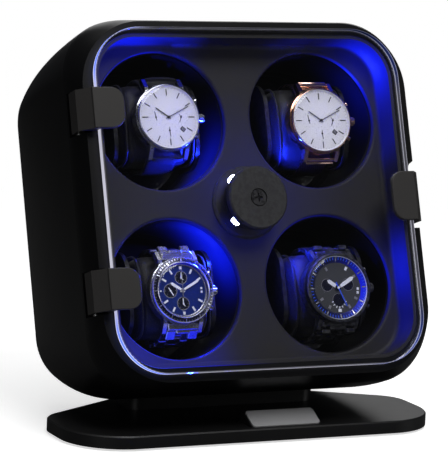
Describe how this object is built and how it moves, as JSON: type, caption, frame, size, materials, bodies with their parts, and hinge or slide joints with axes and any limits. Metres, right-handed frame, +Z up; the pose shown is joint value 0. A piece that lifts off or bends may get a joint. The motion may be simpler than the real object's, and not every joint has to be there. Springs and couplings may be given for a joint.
{
  "type": "watch winder",
  "caption": "Upright watch winder box on a low stand: clear hinged door, round windows with rotating cushion holders, wrist watches fitted, rear cover with mode knobs and vents.",
  "frame": {"origin": "centre of the stand's footprint, on the table, under the middle of the box's width", "axes": "+Z up, the door faces -Y, +X to the right seen from the front"},
  "size_m": [0.237, 0.1986, 0.2407],
  "materials": {
    "shell_plastic": "satin black moulded shell",
    "panel_plastic": "dark warm grey satin",
    "cup_plastic": "gloss black",
    "holder_plastic": "gloss black",
    "clear_acrylic": "clear polished acrylic",
    "fitting_plastic": "dark grey satin",
    "hub_plastic": "satin black",
    "base_plastic": "semi-gloss black",
    "gear_plastic": "natural acetal",
    "chassis_plastic": "dark grey moulded",
    "brass": "turned",
    "steel": "zinc plated",
    "dark_steel": "blackened",
    "magnet_nickel": "nickel plated",
    "ballast_iron": "raw",
    "rubber": "matte",
    "plate_steel": "fine satin",
    "board_green": "solder mask",
    "led_lens": "clear blue",
    "cable_black": "smooth jacket",
    "motor_steel": "drawn can",
    "cushion_leather": "soft grained black",
    "strap_leather": "black grained",
    "strap_rose": "fine mesh, rose gold",
    "strap_steel": "brushed links",
    "strap_dark": "black silicone",
    "case_silver": "polished",
    "case_rose": "polished rose gold",
    "case_steel": "satin and polished",
    "case_black": "black coated"
  },
  "bodies": {
    "box": {"housing_shell": "shell_plastic", "front_bezel": "shell_plastic", "rear_cover": "shell_plastic", "rear_cover_screws": "dark_steel", "front_panel": "panel_plastic", "chassis_plate": "chassis_plastic", "chassis_screws": "steel", "rotor_bushes": "brass", "motor_left": "motor_steel", "motor_right": "motor_steel", "control_board": "board_green", "power_jack": "dark_steel", "wiring": "cable_black", "hub_stem": "hub_plastic", "hub_cap": "hub_plastic", "hub_screw": "dark_steel", "led_board": "board_green", "led_emitters": "led_lens", "stand_neck": "base_plastic", "stand_base": "base_plastic", "stand_screws": "steel", "base_ballast": "ballast_iron", "rubber_feet": "rubber", "nameplate": "plate_steel", "hinge_pins": "steel", "catch_magnet": "magnet_nickel"},
    "door": {"door_panel": "clear_acrylic", "hinge_clamps": "fitting_plastic", "clamp_screws": "dark_steel", "door_handle": "fitting_plastic", "catch_strike": "steel"},
    "rotor_upper_left": {"rotor_cup_upper_left": "cup_plastic", "rotor_gear_upper_left": "gear_plastic", "watch_holder_upper_left": "holder_plastic", "cushion_upper_left": "cushion_leather", "watch_strap_upper_left": "strap_leather", "watch_case_upper_left": "case_silver"},
    "rotor_upper_right": {"rotor_cup_upper_right": "cup_plastic", "rotor_gear_upper_right": "gear_plastic", "watch_holder_upper_right": "holder_plastic", "cushion_upper_right": "cushion_leather", "watch_strap_upper_right": "strap_rose", "watch_case_upper_right": "case_rose"},
    "rotor_lower_left": {"rotor_cup_lower_left": "cup_plastic", "rotor_gear_lower_left": "gear_plastic", "watch_holder_lower_left": "holder_plastic", "cushion_lower_left": "cushion_leather", "watch_strap_lower_left": "strap_steel", "watch_case_lower_left": "case_steel"},
    "rotor_lower_right": {"rotor_cup_lower_right": "cup_plastic", "rotor_gear_lower_right": "gear_plastic", "watch_holder_lower_right": "holder_plastic", "cushion_lower_right": "cushion_leather", "watch_strap_lower_right": "strap_dark", "watch_case_lower_right": "case_black"},
    "pinion_left": {"pinion_left": "brass"},
    "pinion_right": {"pinion_right": "brass"},
    "knob_left": {"mode_knob_left": "fitting_plastic"},
    "knob_right": {"mode_knob_right": "fitting_plastic"},
    "light_button": {"light_button": "fitting_plastic"}
  },
  "joints": [
    {"name": "door_swing", "type": "hinge", "parent": "box", "child": "door", "pos_m": [-0.106, -0.01544, 0.13767], "axis": [0, -0.3256, -0.9455], "range_deg": [0, 110]},
    {"name": "rotor_upper_left_spin", "type": "hinge", "parent": "box", "child": "rotor_upper_left", "pos_m": [-0.05, 0.00888, 0.18218], "axis": [0, -0.9455, 0.3256], "continuous": true},
    {"name": "rotor_upper_right_spin", "type": "hinge", "parent": "box", "child": "rotor_upper_right", "pos_m": [0.05, 0.00888, 0.18218], "axis": [0, -0.9455, 0.3256], "continuous": true},
    {"name": "rotor_lower_left_spin", "type": "hinge", "parent": "box", "child": "rotor_lower_left", "pos_m": [-0.05, -0.02368, 0.08762], "axis": [0, -0.9455, 0.3256], "continuous": true},
    {"name": "rotor_lower_right_spin", "type": "hinge", "parent": "box", "child": "rotor_lower_right", "pos_m": [0.05, -0.02368, 0.08762], "axis": [0, -0.9455, 0.3256], "continuous": true},
    {"name": "pinion_left_spin", "type": "hinge", "parent": "box", "child": "pinion_left", "pos_m": [-0.05, 0.05595, 0.11309], "axis": [0, -0.9455, 0.3256], "continuous": true},
    {"name": "pinion_right_spin", "type": "hinge", "parent": "box", "child": "pinion_right", "pos_m": [0.05, 0.05595, 0.11309], "axis": [0, -0.9455, 0.3256], "continuous": true},
    {"name": "knob_left_turn", "type": "hinge", "parent": "box", "child": "knob_left", "pos_m": [-0.024, 0.09506, 0.07001], "axis": [0, -0.9455, 0.3256], "range_deg": [-135, 135]},
    {"name": "knob_right_turn", "type": "hinge", "parent": "box", "child": "knob_right", "pos_m": [0.024, 0.09506, 0.07001], "axis": [0, -0.9455, 0.3256], "range_deg": [-135, 135]},
    {"name": "light_button_press", "type": "slide", "parent": "box", "child": "light_button", "axis": [0, -0.9455, 0.3256], "range_m": [0, 0.0015]}
  ],
  "couplings": [
    {"joint": "rotor_lower_left_spin", "follows": "rotor_upper_left_spin", "ratio": 1},
    {"joint": "pinion_left_spin", "follows": "rotor_upper_left_spin", "ratio": -5.25},
    {"joint": "rotor_lower_right_spin", "follows": "rotor_upper_right_spin", "ratio": 1},
    {"joint": "pinion_right_spin", "follows": "rotor_upper_right_spin", "ratio": -5.25}
  ]
}
